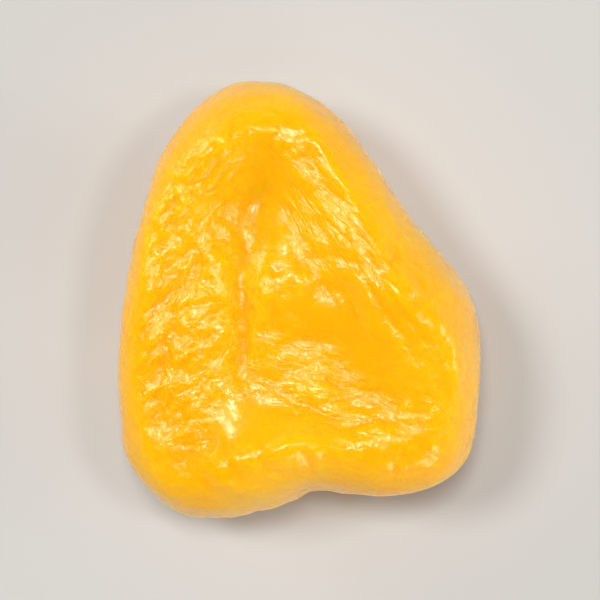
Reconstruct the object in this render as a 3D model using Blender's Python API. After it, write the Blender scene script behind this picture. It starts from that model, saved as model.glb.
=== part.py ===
"""A dried lemon: one small whole fruit, candied, dried and shrunken, lying on its flattest side.

The fruit is a single closed solid. It starts as a pillow that swells between an outline and the crests
where its sides turn over into the top and the underside. What the drying did is then pressed into that
pillow: sunken faces, folds of skin left standing between them, pleats down the sides, and a crumple.

Lengths in the tables are millimetres and angles are degrees. The narrow end points to +Y, and +Z is up.
"""

import math
from typing import NamedTuple

import bmesh
import bpy
import numpy as np
from mathutils import Vector, noise

MM = 0.001

# Overall size of the fruit
LENGTH = 34.0
WIDTH = 28.0
HEIGHT = 18.0

# The cage is a cube, each of whose edges is cut into this many squares
CAGE_SQUARES = 28

# The pillow: its sides, and how far it swells below its widest level
SIDE_SQUARENESS = 1.8
TOP_DOME = 0.7
UNDER_SWELL = 8.6
UNDER_DOME = 2.6
UNDER_CREST_SHARE = 0.3

# The spot that the fruit rests on lies under its weight
REST_SPOT = (-0.8, -1.0)
REST_SINK = 1.0
REST_BLEND = 0.35

# Seen from above, anticlockwise from the right: the outline, with how far each place hangs or rises
OUTLINE = (
    (13.8, -1.0, -1.5),
    (12.0, 2.3, -1.2),
    (8.6, 6.4, -0.2),
    (5.4, 11.0, 0.6),
    (2.2, 14.7, 0.2),
    (-2.0, 17.0, -1.0),
    (-7.0, 16.0, -0.6),
    (-10.7, 11.7, 0.8),
    (-12.6, 6.0, 1.8),
    (-13.8, 0.0, 2.2),
    (-14.3, -7.0, 1.6),
    (-13.2, -13.0, 0.2),
    (-9.5, -16.7, -1.2),
    (-4.5, -16.8, -1.6),
    (1.8, -15.1, -0.6),
    (7.0, -15.3, 0.6),
    (11.7, -13.7, 0.2),
    (13.9, -8.5, -0.8),
)

# The crest where the sides become the top, with its height over the widest level
TOP_CREST = (
    (11.0, -3.4, 6.2),
    (8.9, 0.0, 6.9),
    (6.2, 3.4, 7.1),
    (3.6, 7.6, 7.0),
    (0.8, 12.2, 6.8),
    (-2.2, 13.4, 6.9),
    (-6.0, 12.2, 7.2),
    (-9.4, 8.8, 6.6),
    (-11.5, 4.6, 5.9),
    (-12.1, -4.0, 5.1),
    (-11.6, -11.2, 4.9),
    (-8.8, -13.6, 5.3),
    (-3.0, -12.1, 6.6),
    (1.0, -10.7, 6.8),
    (6.0, -10.8, 6.6),
    (10.2, -10.9, 5.7),
    (11.2, -7.5, 5.8),
)


class Hollow(NamedTuple):
    """A sunken face: an oval dish on one of the charts, turned from the chart's first axis."""

    chart: str
    centre: tuple
    reach: tuple
    turn: float
    depth: float
    squareness: float = 2.6


class Fold(NamedTuple):
    """A fold of skin along a path on one of the charts: a ridge, or a groove where its rise is negative.

    Each corner of the path is its place on the chart, then the fold's half width and its rise there.
    """

    chart: str
    path: tuple
    squareness: float = 2.0


# On the top and under charts a place is (x, y). On the side chart it is (degrees round from +X, height).
HOLLOWS = (
    Hollow("top", (1.3, -6.1), (7.0, 4.1), -36.0, 1.4, 6.0),
    Hollow("top", (1.0, 2.6), (5.4, 2.9), -62.0, 0.8),
    Hollow("top", (-8.9, -4.4), (9.0, 3.4), 88.0, 0.4, 5.0),
    Hollow("top", (-6.6, 6.2), (4.6, 3.0), 62.0, 1.1, 1.6),
    Hollow("under", (4.4, 5.6), (5.0, 2.8), 125.0, 0.8),
    Hollow("under", (-7.8, 3.6), (5.5, 2.6), 80.0, 0.9),
    Hollow("under", (6.4, -9.2), (4.2, 2.6), 10.0, 0.8),
    Hollow("side", (186.0, 7.0), (7.0, 3.4), -8.0, 1.7),
    Hollow("side", (250.0, 5.0), (4.4, 2.8), 15.0, 1.0),
    Hollow("side", (300.0, 6.8), (3.8, 3.4), -20.0, 1.4),
    Hollow("side", (345.0, 4.6), (4.8, 2.8), 15.0, 1.0),
    Hollow("side", (42.0, 6.8), (5.6, 3.0), 20.0, 1.3),
    Hollow("side", (98.0, 5.2), (4.8, 3.0), -10.0, 1.0),
    Hollow("side", (140.0, 8.0), (3.4, 3.8), 30.0, 1.2),
)
FOLDS = (
    # The valley that comes down from the narrow end, beside a thin crest
    Fold("top", (
        (-2.8, 11.2, 1.8, -0.7), (-3.3, 7.5, 2.4, -1.7), (-4.2, 2.5, 1.3, -1.3),
        (-4.6, -2.5, 0.95, -1.1), (-4.5, -6.5, 1.0, -1.0), (-2.9, -8.9, 1.8, -0.7),
    ), 1.3),
    Fold("top", (
        (-2.8, 3.4, 0.7, 0.15), (-3.1, 0.8, 0.7, 0.45), (-3.5, -3.0, 0.7, 0.5), (-3.4, -7.0, 0.7, 0.25),
    )),
    # The broad ridge along the right of the sunken face
    Fold("top", (
        (-0.4, 10.0, 1.0, 0.2), (1.2, 6.8, 1.9, 0.4), (3.8, 2.8, 2.1, 0.6), (7.4, -1.4, 2.3, 0.75),
        (9.9, -4.6, 2.1, 0.7), (10.4, -8.6, 1.5, 0.4),
    ), 4.0),
    Fold("top", (
        (-1.7, 8.0, 0.7, 0.1), (-1.2, 4.0, 0.8, 0.4), (0.6, 0.4, 0.8, 0.3), (2.4, -1.8, 0.8, 0.1),
    )),
    # Low crests round the rim
    Fold("top", (
        (-9.6, -13.0, 1.0, 0.1), (-5.5, -12.2, 1.0, 0.4), (-2.0, -11.2, 1.0, 0.55), (2.0, -10.2, 1.0, 0.35),
        (6.5, -10.3, 1.1, 0.35), (9.0, -9.8, 1.0, 0.2),
    )),
    Fold("top", (
        (-11.8, 5.0, 0.9, 0.1), (-12.1, -0.5, 0.9, 0.15), (-12.2, -5.5, 0.9, 0.15), (-11.7, -11.0, 0.9, 0.1),
    )),
    Fold("top", ((-9.8, 7.4, 0.9, 0.2), (-6.6, 11.2, 1.0, 0.45), (-2.4, 13.0, 1.0, 0.3))),
    # The outer fold and the crease between it and the ridge
    Fold("top", ((0.6, 12.6, 0.6, 0.1), (2.3, 9.6, 0.6, 0.35), (4.2, 6.8, 0.6, 0.1))),
    Fold("top", ((0.2, 10.9, 0.5, -0.1), (1.9, 8.6, 0.5, -0.3), (4.2, 5.4, 0.5, -0.1))),
    # Folds between the sunken faces underneath and round the sides
    Fold("under", ((-1.0, 14.0, 1.0, 0.3), (-1.4, 9.0, 1.3, 0.9), (-2.2, 4.5, 1.0, 0.2))),
    Fold("under", ((11.0, -1.0, 1.0, 0.3), (8.0, -3.6, 1.3, 0.8), (4.6, -5.0, 1.0, 0.2))),
    Fold("under", ((-12.0, -4.0, 1.0, 0.2), (-9.0, -6.4, 1.3, 0.7), (-6.0, -7.4, 1.0, 0.2))),
    Fold("side", ((272.0, 14.0, 1.3, -0.3), (275.0, 9.0, 1.2, -0.7), (280.0, 2.5, 1.2, -0.7))),
    Fold("side", ((20.0, 10.0, 1.0, 0.1), (16.0, 6.5, 1.3, 0.6), (19.0, 2.5, 1.2, 0.5))),
    Fold("side", ((74.0, 12.0, 1.0, 0.1), (80.0, 7.5, 1.1, 0.4), (77.0, 3.0, 1.2, 0.4))),
    Fold("side", ((136.0, 13.0, 1.0, 0.2), (144.0, 8.0, 1.3, 0.55), (138.0, 2.5, 1.3, 0.5))),
    Fold("side", ((222.0, 13.0, 1.0, 0.2), (217.0, 8.0, 1.2, 0.65), (223.0, 2.5, 1.2, 0.7))),
    Fold("side", ((314.0, 12.0, 1.0, 0.2), (318.0, 7.0, 1.2, 0.6), (312.0, 2.5, 1.2, 0.6))),
)

# Pleats run down the sides, and fade on their upper part, between two heights.
# The crumple is strong on the faces, and weak where the skin is stretched
CRUMPLE_SEED = 3
PLEAT_TURNS = 24.0
PLEAT_LENGTH = 11.0
PLEAT_HEIGHT = 0.5
PLEATS_FADE_FROM = 4.0
PLEATS_FADE_BY = 10.0
UPPER_PLEAT_SHARE = 0.2
CRUMPLE_LENGTH = 3.0
CRUMPLE_HEIGHT = 0.36
CRUMPLE_WARP = 0.9
STRETCHED_SHARE = 0.25

PEEL_COLOUR = (0.95, 0.44, 0.008, 1.0)
PEEL_ROUGHNESS = 0.3


def clear_scene():
    for item in list(bpy.data.objects):
        bpy.data.objects.remove(item)


def ease(value, low, high):
    """0 below low, 1 above high, and a smooth rise between."""
    share = np.clip((value - low) / (high - low), 0.0, 1.0)
    return share * share * (3.0 - 2.0 * share)


def smooth_curve(corners, closed, steps=12):
    """Points along the Catmull-Rom curve through the corners, with all their columns."""
    corners = np.array(corners, float)
    if closed:
        line = np.concatenate([corners[-1:], corners, corners[:2]])
    else:
        line = np.concatenate([2 * corners[:1] - corners[1:2], corners, 2 * corners[-1:] - corners[-2:-1]])
    before, here, after, beyond = line[:-3], line[1:-2], line[2:-1], line[3:]
    t = np.linspace(0.0, 1.0, steps, endpoint=False)[:, None, None]
    curve = here + 0.5 * t * (
        (after - before)
        + t * (2 * before - 5 * here + 4 * after - beyond)
        + t * t * (3 * here - before - 3 * after + beyond)
    )
    return curve.transpose(1, 0, 2).reshape(-1, corners.shape[1])


def round_loop(loop, angle):
    """At each angle round the origin: how far a closed curve lies from it, and the curve's third column."""
    points = smooth_curve(loop, closed=True)
    at = np.arctan2(points[:, 1], points[:, 0])
    radius = np.hypot(points[:, 0], points[:, 1])
    return tuple(np.interp(angle, at, column, period=2 * math.pi) for column in (radius, points[:, 2]))


def cage():
    """A ball of near-square faces: a cube's grid, bent so that its squares stay even on the ball."""
    ball = bmesh.new()
    bmesh.ops.create_cube(ball, size=2.0)
    bmesh.ops.subdivide_edges(ball, edges=ball.edges[:], cuts=CAGE_SQUARES - 1, use_grid_fill=True)
    for vertex in ball.verts:
        vertex.co = Vector(math.tan(c * math.pi / 4) for c in vertex.co).normalized()
    mesh = bpy.data.meshes.new("dried_lemon")
    ball.to_mesh(mesh)
    ball.free()
    return mesh


def read_vertices(mesh, name):
    values = np.empty(len(mesh.vertices) * 3, np.float32)
    mesh.vertices.foreach_get(name, values)
    return values.reshape(-1, 3).astype(float)


def write_vertices(mesh, points):
    mesh.vertices.foreach_set("co", points.astype(np.float32).ravel())
    mesh.update()


def pillow(directions):
    """The swollen body before it dries: where each direction of the ball goes."""
    x, y, z = directions.T
    angle = np.arctan2(y, x)
    above = z >= 0
    outline, sway = round_loop(OUTLINE, angle)
    crest, crest_height = round_loop(TOP_CREST, angle)
    crest = np.where(above, crest, UNDER_CREST_SHARE * outline)
    plan = outline * np.hypot(x, y)
    inset = np.clip((outline - plan) / (outline - crest), 0.0, 1.0)
    rise = (1 - (1 - inset) ** SIDE_SQUARENESS) ** (1 / SIDE_SQUARENESS)
    middle = 1 - np.clip(plan / crest, 0.0, 1.0) ** 2
    crest_height += (np.mean(TOP_CREST, axis=0)[2] - crest_height) * middle
    plan_x, plan_y = plan * np.cos(angle), plan * np.sin(angle)
    from_spot = np.hypot(plan_x - REST_SPOT[0], plan_y - REST_SPOT[1]) / (LENGTH / 2)
    dome = np.clip(1 - from_spot**2, 0.0, 1.0) * inset
    height = np.where(above, crest_height * rise + TOP_DOME * dome, -UNDER_SWELL * rise - UNDER_DOME * dome)
    seam = UNDER_SWELL + UNDER_DOME + sway * (1 - rise)
    return np.stack([plan_x, plan_y, seam + height], axis=1)


def on_chart(chart, places):
    """Places as lengths on the chart: on the side, the degrees become a length round the fruit."""
    places = np.array(places, float)
    if chart == "side":
        places[..., 0] = np.radians(places[..., 0]) * (LENGTH + WIDTH) / 4
    return places


def charts(points, normals):
    """For each face of the fruit: the points' places on its chart, and how much they belong to it."""
    angle = np.degrees(np.arctan2(points[:, 1], points[:, 0])) % 360
    around = on_chart("side", np.stack([angle, points[:, 2]], axis=1))
    up = normals[:, 2]
    return {
        "top": (points[:, :2], ease(up, 0.05, 0.6)),
        "under": (points[:, :2], ease(-up, 0.05, 0.6)),
        "side": (around, ease(1 - np.abs(up), 0.1, 0.6)),
    }


def hollow_depth(hollow, places):
    turn = math.radians(hollow.turn)
    offset = places - on_chart(hollow.chart, hollow.centre)
    along = offset @ np.array([math.cos(turn), math.sin(turn)])
    across = offset @ np.array([-math.sin(turn), math.cos(turn)])
    reach = np.hypot(along / hollow.reach[0], across / hollow.reach[1])
    return -hollow.depth * np.exp(-(reach**hollow.squareness))


def fold_rise(fold, places):
    """The fold stands across its path like a rounded wave, and dies away past the path's ends."""
    path = smooth_curve(on_chart(fold.chart, fold.path), closed=False)
    nearest = np.full(len(places), np.inf)
    rise = np.zeros(len(places))
    for start, end in zip(path[:-1], path[1:]):
        run = end - start
        offset = places - start[:2]
        share = np.clip(offset @ run[:2] / (run[:2] @ run[:2]), 0.0, 1.0)
        distance = np.linalg.norm(offset - share[:, None] * run[:2], axis=1)
        half_width = start[2] + share * run[2]
        height = start[3] + share * run[3]
        here = height * np.exp(-((distance / half_width) ** fold.squareness))
        rise = np.where(distance < nearest, here, rise)
        nearest = np.minimum(distance, nearest)
    return rise


def puckers(points, length):
    """Rounded bumps with creases between them, of about this wavelength, from -0.5 to 0.5 or so."""
    warp = [noise.noise_vector(Vector(p) / (2.2 * length)) * CRUMPLE_WARP for p in points]
    return np.array([abs(noise.noise(Vector(p) / length + w)) * 2 - 0.45 for p, w in zip(points, warp)])


def pleats(points):
    angle = np.arctan2(points[:, 1], points[:, 0])
    ring = PLEAT_TURNS / (2 * math.pi)
    places = np.stack(
        [ring * np.cos(angle), ring * np.sin(angle), points[:, 2] / PLEAT_LENGTH], axis=1
    )
    fade = ease(points[:, 2], PLEATS_FADE_FROM, PLEATS_FADE_BY)
    return PLEAT_HEIGHT * (1 + (UPPER_PLEAT_SHARE - 1) * fade) * puckers(places, 1.0)


def dried(points, normals):
    """The pillow with all that the drying pressed into it."""
    faces = charts(points, normals)
    relief = faces["side"][1] * pleats(points)
    for shape, features in ((hollow_depth, HOLLOWS), (fold_rise, FOLDS)):
        for feature in features:
            places, share = faces[feature.chart]
            relief += share * shape(feature, places)
    loose = STRETCHED_SHARE + (1 - STRETCHED_SHARE) * ease(np.abs(normals[:, 2]), 0.7, 0.97)
    relief += CRUMPLE_HEIGHT * loose * puckers(points, CRUMPLE_LENGTH)
    return points + normals * relief[:, None]


def set_down(points):
    """Fits the fruit to its overall size over the origin, and presses its lowest part flat on the ground."""
    low, high = points.min(axis=0), points.max(axis=0)
    middle = (low + high) / 2
    size = np.array([WIDTH, LENGTH, HEIGHT + REST_SINK])
    points = (points - middle) * size / (high - low)
    z = points[:, 2] + (HEIGHT - REST_SINK) / 2
    blended = (z + REST_BLEND) ** 2 / (4 * REST_BLEND)
    points[:, 2] = np.where(z < -REST_BLEND, 0.0, np.where(z < REST_BLEND, blended, z))
    return points


def candied_peel():
    material = bpy.data.materials.new("candied_peel")
    material.use_nodes = True
    shader = material.node_tree.nodes["Principled BSDF"]
    shader.inputs["Base Color"].default_value = PEEL_COLOUR
    shader.inputs["Roughness"].default_value = PEEL_ROUGHNESS
    shader.inputs["Metallic"].default_value = 0.0
    return material


def dried_lemon():
    mesh = cage()
    write_vertices(mesh, pillow(read_vertices(mesh, "co")))
    points = dried(read_vertices(mesh, "co"), read_vertices(mesh, "normal"))
    write_vertices(mesh, set_down(points) * MM)
    mesh.shade_smooth()
    mesh.materials.append(candied_peel())
    fruit = bpy.data.objects.new("dried_lemon", mesh)
    bpy.context.scene.collection.objects.link(fruit)
    return fruit


noise.seed_set(CRUMPLE_SEED)
clear_scene()
dried_lemon()
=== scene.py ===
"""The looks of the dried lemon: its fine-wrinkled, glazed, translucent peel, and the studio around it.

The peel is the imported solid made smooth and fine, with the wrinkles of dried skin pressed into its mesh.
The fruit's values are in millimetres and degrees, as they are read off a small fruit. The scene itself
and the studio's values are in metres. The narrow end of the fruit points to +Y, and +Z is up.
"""

import math
from typing import NamedTuple

import bmesh
import bpy
import numpy as np
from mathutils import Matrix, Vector, noise


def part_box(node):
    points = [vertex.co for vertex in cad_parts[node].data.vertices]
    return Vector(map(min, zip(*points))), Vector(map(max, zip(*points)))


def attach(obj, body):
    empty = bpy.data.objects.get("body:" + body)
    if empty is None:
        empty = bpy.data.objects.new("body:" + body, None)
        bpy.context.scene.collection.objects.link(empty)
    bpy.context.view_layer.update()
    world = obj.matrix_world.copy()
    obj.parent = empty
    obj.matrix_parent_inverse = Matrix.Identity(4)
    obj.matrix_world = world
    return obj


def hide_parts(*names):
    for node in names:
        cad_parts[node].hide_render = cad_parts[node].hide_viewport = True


MM = 0.001
NODE = "dried_lemon"
SEED = 5

# The solid's corners closer than this are one corner, and triangles flatter than this pair into quads
SAME_PLACE = 1e-7
PAIR_ANGLE = 60.0
FINE_LEVELS = 2

# Rounds of averaging that take the solid's facets out of the peel
FACET_SMOOTHING = 6

# The skin is tight where it bulges over a rim, and loose where it sank. What counts as level with its
# surroundings comes from rounds of averaging, and tight skin keeps a small share of its wrinkles
SINK_SMOOTHING = 60
TIGHT_BULGE = 0.36
LOOSE_SINK = 0.05
TIGHT_SHARE = 0.1

# The flat spot that the fruit rests on stays flat up to this height
REST_FREE_HEIGHT = 0.5


class Wrinkles(NamedTuple):
    """One size of wrinkle: how wide it is, how high it stands, and how much its line wanders."""

    width: float
    height: float
    wander: float


class Zone(NamedTuple):
    """An oval part of the top whose wrinkles spread from a far point, and are stretch times longer than wide.

    At the spread distance from that point they are as wide as their size says. Nearer it they are narrower.
    """

    name: str
    middle: tuple
    reach: tuple
    turn: float
    source: tuple
    spread: float
    stretch: float
    sizes: tuple


class Calm(NamedTuple):
    """An oval part of the top where the skin is smooth."""

    middle: tuple
    reach: tuple
    turn: float


ZONES = (
    Zone(
        "facet", (-8.9, -1.4), (13.0, 4.7), 86.0, (-70.0, -72.0), 93.0, 1.7,
        (Wrinkles(1.5, 0.13, 0.6), Wrinkles(0.85, 0.10, 0.5)),
    ),
    Zone(
        "border", (-7.6, 9.6), (6.4, 1.9), 50.0, (-70.0, -60.0), 93.0, 1.5,
        (Wrinkles(1.5, 0.18, 0.6), Wrinkles(0.85, 0.11, 0.5)),
    ),
    Zone(
        "crest", (-3.3, 0.5), (7.0, 1.1), 92.0, (-6.9, 17.5), 17.0, 2.6,
        (Wrinkles(1.3, 0.13, 0.6), Wrinkles(0.8, 0.08, 0.5)),
    ),
    Zone(
        "fan", (4.0, 2.4), (11.0, 3.6), -54.0, (-6.9, 17.5), 17.0, 5.0,
        (Wrinkles(1.5, 0.12, 0.4), Wrinkles(0.85, 0.08, 0.3)),
    ),
    Zone(
        "floor", (3.0, -6.4), (8.6, 5.0), -10.0, (-60.0, 3.0), 64.0, 2.3,
        (Wrinkles(1.5, 0.12, 0.8), Wrinkles(0.85, 0.09, 0.6)),
    ),
)
CALMS = (
    Calm((-2.8, 7.0), (3.6, 1.8), 100.0),
    Calm((3.7, -3.0), (4.8, 1.3), -45.0),
    Calm((-4.0, -9.2), (3.1, 2.0), 10.0),
)

# Inside a zone the skin is at least this loose, and a calm part takes this share of its wrinkles away
ZONE_LOOSE = 0.9
CALM_SHARE = 0.9
OVAL_SQUARENESS = 4
ZONE_EDGE = 0.01

# Wrinkles outside the zones. Those of the sides run up and down, and end between two heights
PLAIN_SIZES = (Wrinkles(1.8, 0.14, 0.6), Wrinkles(1.0, 0.06, 0.5))
SIDE_SIZES = (Wrinkles(2.6, 0.20, 0.5), Wrinkles(1.2, 0.07, 0.5))
SIDE_STRETCH = 4.0
SIDE_SMOOTH_FROM = 9.0
SIDE_SMOOTH_BY = 12.0

# How slowly a wrinkle's line wanders, and the height that its relief is measured from
WANDER_SCALE = 0.4
FOLD_MIDDLE = 0.45

# How far up the skin has to face to belong to the top, and how nearly level it has to be for plain wrinkles
ABOVE_FROM = 0.3
ABOVE_BY = 0.7
LEVEL_FROM = 0.45
LEVEL_BY = 0.8

# How far the skin sank, in millimetres, where its colour deepens as painted shade and its gloss dulls
SUNKEN_FROM = -0.2
SUNKEN_BY = 0.7


class Creases(NamedTuple):
    """Creases too small for the mesh: how many to a millimetre, how detailed and bent, and how high."""

    scale: float
    detail: float
    bend: float
    height: float


ZONE_CREASES = Creases(1.5, 2.0, 0.5, 0.13)
PLAIN_CREASES = Creases(1.3, 3.0, 0.6, 0.09)
SKIN_CREASES = Creases(0.9, 3.0, 0.0, 0.035)
NOISE_MIDDLE = 0.5

# The peel's two colours, linear, and how much of the deep one its random patches of tone have, and how much
# its sunken skin has as painted shade in the hollows
PEEL_LIGHT = (0.99, 0.485, 0.003, 1.0)
PEEL_DEEP_TONE_AND_SHADE = (0.97, 0.38, 0.001, 1.0)
PATCHES_TO_MM = 0.16
PATCHES_FROM = 0.35
PATCHES_BY = 0.65
PATCH_TONE = 0.35
# The sunken skin's share of the deep colour is painted shade in the hollows
SUNKEN_PAINTED_SHADE = 0.3

# The glaze is glossy with duller spots, so many to a millimetre, and is duller still where the skin sank
SPOTS_TO_MM = 0.9
SPOTS_FROM = 0.3
SPOTS_BY = 0.7
GLOSSY = 0.15
DULLER = 0.26
SUNKEN_DULLER = 0.2
GLAZED_FLESH = {
    "Subsurface Weight": 0.85,
    "Subsurface Radius": (1.0, 0.55, 0.15),
    "Subsurface Scale": 2.4 * MM,
    "IOR": 1.42,
    "Specular IOR Level": 0.36,
    "Specular Tint": (1.0, 0.95, 0.6, 1.0),
    "Coat Weight": 0.12,
    "Coat Roughness": 0.12,
}

# The floor is matt. Between two distances it begins to glow, so that it has no dark horizon
FLOOR_HALF = 3.0
FLOOR_COLOUR = (0.56, 0.548, 0.525, 1.0)
FLOOR_ROUGHNESS = 0.9
FLOOR_GLOSS = 0.1
FLOOR_GLOW = 0.52
GLOW_FROM = 0.08
GLOW_BY = 0.6

# The backdrop is bright at the horizon and dims upward to this height on a ball of radius 1
WORLD_COLOUR = (1.0, 0.985, 0.96, 1.0)
HORIZON_STRENGTH = 0.78
ZENITH_STRENGTH = 0.05
ZENITH_FROM = 0.55

# The camera's lens in millimetres, and how much of the picture's height the fruit takes
LENS = 180.0
FRUIT_SHARE = 0.73

# Each softbox: its name, where it hangs, its width and its power in watts
LAMPS = (
    ("overhead", (-0.02, 0.09, 0.60), 0.12, 1.6),
    ("left", (-0.24, 0.10, 0.54), 0.14, 1.35),
    ("right", (0.19, 0.02, 0.56), 0.10, 0.6),
    ("low_right", (0.55, 0.02, 0.14), 0.22, 0.95),
    ("low_front", (0.32, -0.46, 0.14), 0.22, 0.8),
    ("low_back", (-0.45, 0.35, 0.15), 0.22, 0.9),
)


def ease(value, low, high):
    """0 below low, 1 above high, and a smooth rise between."""
    share = np.clip((value - low) / (high - low), 0.0, 1.0)
    return share * share * (3.0 - 2.0 * share)


# The peel's mesh


def fine_copy(node):
    """A copy of the CAD node's mesh as quads, smoothed and made fine enough to hold small wrinkles."""
    skin = bmesh.new()
    skin.from_mesh(node.data)
    bmesh.ops.remove_doubles(skin, verts=skin.verts[:], dist=SAME_PLACE)
    bmesh.ops.join_triangles(
        skin,
        faces=skin.faces[:],
        angle_face_threshold=math.radians(PAIR_ANGLE),
        angle_shape_threshold=math.radians(PAIR_ANGLE),
    )
    mesh = bpy.data.meshes.new("peel")
    skin.to_mesh(mesh)
    skin.free()
    peel = bpy.data.objects.new("peel", mesh)
    bpy.context.scene.collection.objects.link(peel)
    smoothing = peel.modifiers.new("smoothing", "SUBSURF")
    smoothing.levels = smoothing.render_levels = FINE_LEVELS
    fine = bpy.data.meshes.new_from_object(peel.evaluated_get(bpy.context.evaluated_depsgraph_get()))
    peel.modifiers.clear()
    peel.data = fine
    bpy.data.meshes.remove(mesh)
    fine.name = "peel"
    fine.shade_smooth()
    return peel


def read_vertices(mesh, name):
    values = np.empty(len(mesh.vertices) * 3, np.float32)
    mesh.vertices.foreach_get(name, values)
    return values.reshape(-1, 3).astype(float)


def write_vertices(mesh, points):
    mesh.vertices.foreach_set("co", points.astype(np.float32).ravel())
    mesh.update()


def store(mesh, name, values):
    """Keeps one number a vertex under this name, for the material to read."""
    attribute = mesh.attributes.new(name, "FLOAT", "POINT")
    attribute.data.foreach_set("value", values.astype(np.float32))


def store_places(mesh, name, places):
    attribute = mesh.attributes.new(name, "FLOAT_VECTOR", "POINT")
    attribute.data.foreach_set("vector", places.astype(np.float32).ravel())


def neighbour_mean(values, edges, rounds):
    """The values, averaged with those of the neighbouring vertices over and over."""
    ends = np.concatenate([edges, edges[:, ::-1]])
    degree = np.bincount(ends[:, 0], minlength=len(values))
    for _ in range(rounds):
        columns = [np.bincount(ends[:, 0], weights=column[ends[:, 1]]) for column in values.T]
        values = 0.5 * values + 0.5 * np.stack(columns, axis=1) / degree[:, None]
    return values


def read_edges(mesh):
    edges = np.empty(len(mesh.edges) * 2, np.int32)
    mesh.edges.foreach_get("vertices", edges)
    return edges.reshape(-1, 2)


def bulge(mesh, points, normals):
    """How far each place stands out over its surroundings. It is negative where the skin sank."""
    smooth = neighbour_mean(points, read_edges(mesh), SINK_SMOOTHING)
    return np.einsum("ij,ij->i", points - smooth, normals)


def oval_share(oval, points):
    """1 in the oval's middle, falling to 0 around its edge."""
    turn = math.radians(oval.turn)
    offset = points[:, :2] - np.array(oval.middle)
    along = offset @ np.array([math.cos(turn), math.sin(turn)])
    across = offset @ np.array([-math.sin(turn), math.cos(turn)])
    return np.exp(-(np.hypot(along / oval.reach[0], across / oval.reach[1]) ** OVAL_SQUARENESS))


def folds(places, wander, where):
    """Rounded folds with creases between them, one unit wide, from -0.5 to 0.5 or so. 0 outside where."""
    height = np.zeros(len(places))
    for i in np.flatnonzero(where > ZONE_EDGE):
        place = Vector(places[i])
        place += wander * noise.noise_vector(place * WANDER_SCALE)
        height[i] = 2 * abs(noise.noise(place)) - FOLD_MIDDLE
    return height


def grained(zone, points):
    """Places in millimetres, but drawn out along the lines that spread from the zone's far point."""
    offset = points[:, :2] - np.array(zone.source)
    along = np.hypot(offset[:, 0], offset[:, 1])
    across = np.arctan2(offset[:, 1], offset[:, 0]) * zone.spread
    return np.stack([along / zone.stretch, across, points[:, 2] / math.sqrt(zone.stretch)], axis=1)


def around(points, stretch, width):
    """Places on the side in units of the wrinkle's width, drawn out up and down."""
    angle = np.arctan2(points[:, 1], points[:, 0])
    ring = np.hypot(points[:, 0], points[:, 1]).mean()
    return np.stack([ring * np.cos(angle), ring * np.sin(angle), points[:, 2] / stretch], axis=1) / width


def wrinkled(mesh, points, normals):
    """The points with the wrinkles of the dried skin pressed in.

    For the material, the mesh keeps where each zone lies, how loose the skin is and how far it sank.
    """
    stands_out = bulge(mesh, points, normals)
    loose = TIGHT_SHARE + (1 - TIGHT_SHARE) * ease(-stands_out, -TIGHT_BULGE, -LOOSE_SINK)
    above = ease(normals[:, 2], ABOVE_FROM, ABOVE_BY)
    level = ease(np.abs(normals[:, 2]), LEVEL_FROM, LEVEL_BY)
    calm = above * np.max([oval_share(oval, points) for oval in CALMS], axis=0)
    shares = {zone.name: above * oval_share(zone, points) for zone in ZONES}
    loose = np.maximum(loose, ZONE_LOOSE * np.max(list(shares.values()), axis=0))
    loose *= 1 - CALM_SHARE * calm
    relief = np.zeros(len(points))
    for zone in ZONES:
        share = shares[zone.name]
        places = grained(zone, points)
        for size in zone.sizes:
            relief += size.height * share * folds(places / size.width, size.wander, share)
        store(mesh, zone.name, share)
        store_places(mesh, zone.name + "_grain", places)
    share = level * np.clip(1 - sum(shares.values()), 0.0, 1.0)
    for size in PLAIN_SIZES:
        relief += size.height * share * folds(points / size.width, size.wander, share)
    share = (1 - level) * (1 - ease(points[:, 2], SIDE_SMOOTH_FROM, SIDE_SMOOTH_BY))
    for size in SIDE_SIZES:
        places = around(points, SIDE_STRETCH, size.width)
        relief += size.height * share * folds(places, size.wander, share)
    relief *= loose * ease(points[:, 2], 0.0, REST_FREE_HEIGHT)
    store(mesh, "loose", loose)
    store(mesh, "sunken", ease(-stands_out, SUNKEN_FROM, SUNKEN_BY))
    return points + normals * relief[:, None]


def keep_in_box(points, low, high):
    """Nothing stands out past the solid's own box, and nothing sinks under what it rests on."""
    return np.clip(points, np.array(low), np.array(high))


def make_peel(node, low, high):
    peel = fine_copy(node)
    points = neighbour_mean(read_vertices(peel.data, "co") / MM, read_edges(peel.data), FACET_SMOOTHING)
    write_vertices(peel.data, points * MM)
    normals = read_vertices(peel.data, "normal")
    write_vertices(peel.data, keep_in_box(wrinkled(peel.data, points, normals) * MM, low, high))
    peel.data.materials.clear()
    peel.data.materials.append(peel_material())
    return peel


# The peel's material


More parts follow.
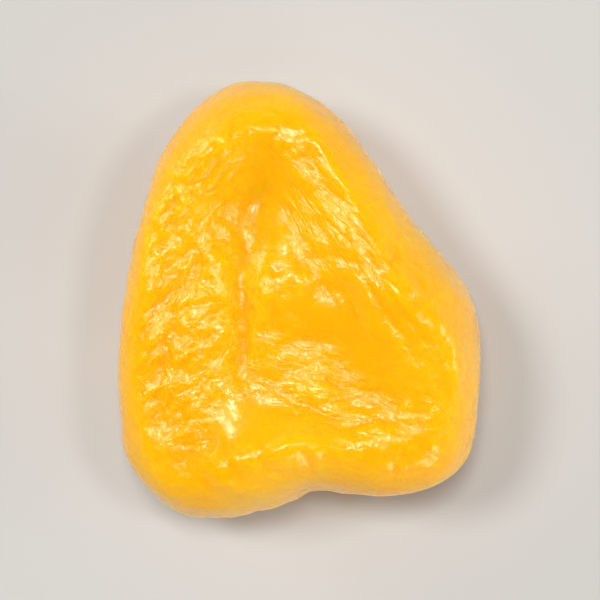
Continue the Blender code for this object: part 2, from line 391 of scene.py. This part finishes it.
class Shading:
    """Short words for building one material's nodes."""

    def __init__(self, name):
        self.material = bpy.data.materials.new(name)
        self.material.use_nodes = True
        self.tree = self.material.node_tree
        self.shader = self.tree.nodes["Principled BSDF"]

    def node(self, kind, inputs=(), **settings):
        node = self.tree.nodes.new(kind)
        for name, value in settings.items():
            setattr(node, name, value)
        for name, value in dict(inputs).items():
            self.feed(node.inputs[name], value)
        return node

    def feed(self, socket, value):
        if isinstance(value, bpy.types.NodeSocket):
            self.tree.links.new(value, socket)
        else:
            socket.default_value = value

    def math(self, operation, first, second=0.0):
        return self.node("ShaderNodeMath", {0: first, 1: second}, operation=operation).outputs[0]

    def attribute(self, name):
        return self.node("ShaderNodeAttribute", attribute_name=name).outputs["Fac"]

    def places(self, name):
        return self.node("ShaderNodeAttribute", attribute_name=name).outputs["Vector"]

    def noise(self, vector, scale, detail=2.0, bend=0.0):
        return self.node(
            "ShaderNodeTexNoise",
            {"Vector": vector, "Scale": scale, "Detail": detail, "Distortion": bend},
        ).outputs[0]

    def creased(self, vector, creases):
        return self.noise(vector, creases.scale, creases.detail, creases.bend)

    def blend(self, share, first, second):
        """A colour between first and second."""
        mix = self.node("ShaderNodeMix", data_type="RGBA")
        self.feed(mix.inputs["Factor"], share)
        self.feed(mix.inputs["A"], first)
        self.feed(mix.inputs["B"], second)
        return mix.outputs["Result"]

    def mapped(self, value, low, high, to_low=0.0, to_high=1.0):
        return self.node(
            "ShaderNodeMapRange",
            {"Value": value, "From Min": low, "From Max": high, "To Min": to_low, "To Max": to_high},
        ).outputs[0]


def millimetres(peel):
    """Places on the fruit in millimetres."""
    place = peel.node("ShaderNodeTexCoord").outputs["Object"]
    return peel.node("ShaderNodeVectorMath", {0: place, "Scale": 1 / MM}, operation="SCALE").outputs[0]


def crinkle(peel, place):
    """The finest creases of the skin, in millimetres: too small for the mesh."""
    height = peel.math("MULTIPLY", peel.creased(place, PLAIN_CREASES), PLAIN_CREASES.height)
    for zone in ZONES:
        fine = peel.creased(peel.places(zone.name + "_grain"), ZONE_CREASES)
        ridge = peel.math("ABSOLUTE", peel.math("SUBTRACT", fine, NOISE_MIDDLE))
        share = peel.math("MULTIPLY", peel.attribute(zone.name), -ZONE_CREASES.height)
        height = peel.math("ADD", height, peel.math("MULTIPLY", ridge, share))
    skin = peel.math("MULTIPLY", peel.creased(place, SKIN_CREASES), SKIN_CREASES.height)
    return peel.math("ADD", peel.math("MULTIPLY", height, peel.attribute("loose")), skin)


def peel_material():
    """Translucent fruit under a thin syrup glaze, its colour deepened by painted shade where the skin sank.
    """
    peel = Shading("candied_peel")
    place = millimetres(peel)
    patches = peel.mapped(peel.noise(place, PATCHES_TO_MM), PATCHES_FROM, PATCHES_BY)
    sunken = peel.attribute("sunken")
    # Sunken skin takes more of the deep colour: painted shade in the hollows, added to the random patches of
    # tone
    painted_shade = peel.math("MULTIPLY", sunken, SUNKEN_PAINTED_SHADE)
    tone_and_painted_shade = peel.math("ADD", painted_shade, peel.math("MULTIPLY", patches, PATCH_TONE))
    bump = peel.node("ShaderNodeBump", {"Height": crinkle(peel, place), "Distance": MM, "Strength": 1.0})
    rough = peel.mapped(peel.noise(place, SPOTS_TO_MM), SPOTS_FROM, SPOTS_BY, GLOSSY, DULLER)
    rough = peel.math("ADD", rough, peel.math("MULTIPLY", sunken, SUNKEN_DULLER))
    shader = peel.shader.inputs
    peel.feed(shader["Base Color"], peel.blend(tone_and_painted_shade, PEEL_LIGHT, PEEL_DEEP_TONE_AND_SHADE))
    peel.feed(shader["Roughness"], rough)
    peel.feed(shader["Normal"], bump.outputs["Normal"])
    peel.feed(shader["Coat Normal"], bump.outputs["Normal"])
    for name, value in GLAZED_FLESH.items():
        shader[name].default_value = value
    return peel.material


# The studio


def make_floor():
    mesh = bpy.data.meshes.new("floor")
    corners = [(-FLOOR_HALF, -FLOOR_HALF, 0), (FLOOR_HALF, -FLOOR_HALF, 0)]
    corners += [(FLOOR_HALF, FLOOR_HALF, 0), (-FLOOR_HALF, FLOOR_HALF, 0)]
    mesh.from_pydata(corners, [], [(0, 1, 2, 3)])
    floor = bpy.data.objects.new("floor", mesh)
    bpy.context.scene.collection.objects.link(floor)
    paint = Shading("pale_floor")
    shader = paint.shader.inputs
    shader["Base Color"].default_value = FLOOR_COLOUR
    shader["Roughness"].default_value = FLOOR_ROUGHNESS
    shader["Specular IOR Level"].default_value = FLOOR_GLOSS
    shader["Emission Color"].default_value = WORLD_COLOUR
    place = paint.node("ShaderNodeTexCoord").outputs["Object"]
    away = paint.node("ShaderNodeVectorMath", {0: place}, operation="LENGTH").outputs["Value"]
    paint.feed(shader["Emission Strength"], paint.mapped(away, GLOW_FROM, GLOW_BY, 0.0, FLOOR_GLOW))
    mesh.materials.append(paint.material)
    return floor


def make_world():
    world = bpy.data.worlds.new("studio")
    world.use_nodes = True
    nodes, links = world.node_tree.nodes, world.node_tree.links
    direction = nodes.new("ShaderNodeTexCoord")
    height = nodes.new("ShaderNodeSeparateXYZ")
    fade = nodes.new("ShaderNodeMapRange")
    fade.interpolation_type = "SMOOTHSTEP"
    fade.inputs["From Max"].default_value = ZENITH_FROM
    fade.inputs["To Min"].default_value = HORIZON_STRENGTH
    fade.inputs["To Max"].default_value = ZENITH_STRENGTH
    nodes["Background"].inputs["Color"].default_value = WORLD_COLOUR
    links.new(direction.outputs["Generated"], height.inputs[0])
    links.new(height.outputs["Z"], fade.inputs["Value"])
    links.new(fade.outputs["Result"], nodes["Background"].inputs["Strength"])
    bpy.context.scene.world = world


def make_softbox(name, place, size, power):
    """A round lamp at this place, facing the fruit."""
    data = bpy.data.lights.new(name, "AREA")
    data.shape = "DISK"
    data.size = size
    data.energy = power
    lamp = bpy.data.objects.new(name, data)
    lamp.location = place
    lamp.visible_camera = False
    lamp.rotation_mode = "QUATERNION"
    lamp.rotation_quaternion = (-Vector(place)).to_track_quat("-Z", "Y")
    bpy.context.scene.collection.objects.link(lamp)


def make_lamps():
    for lamp in LAMPS:
        make_softbox(*lamp)


def make_camera(low, high):
    """Straight overhead with the narrow end up, as the photograph shows it."""
    data = bpy.data.cameras.new("camera")
    data.lens = LENS
    camera = bpy.data.objects.new("camera", data)
    framed = (high.y - low.y) / FRUIT_SHARE
    camera.location = (0.0, 0.0, high.z / 2 + framed * LENS / data.sensor_width)
    bpy.context.scene.collection.objects.link(camera)
    bpy.context.scene.camera = camera


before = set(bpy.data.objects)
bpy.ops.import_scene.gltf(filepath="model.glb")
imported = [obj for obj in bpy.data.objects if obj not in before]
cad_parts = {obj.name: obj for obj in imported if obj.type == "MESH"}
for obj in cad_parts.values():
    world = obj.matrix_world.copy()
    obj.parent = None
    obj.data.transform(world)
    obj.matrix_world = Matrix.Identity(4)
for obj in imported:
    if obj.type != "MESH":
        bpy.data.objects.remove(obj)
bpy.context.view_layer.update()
noise.seed_set(SEED)

fruit = make_peel(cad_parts[NODE], *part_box(NODE))
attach(fruit, "root")
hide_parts(NODE)

make_floor()
make_world()
make_lamps()
make_camera(*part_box(NODE))
bpy.context.scene.view_settings.view_transform = "Standard"
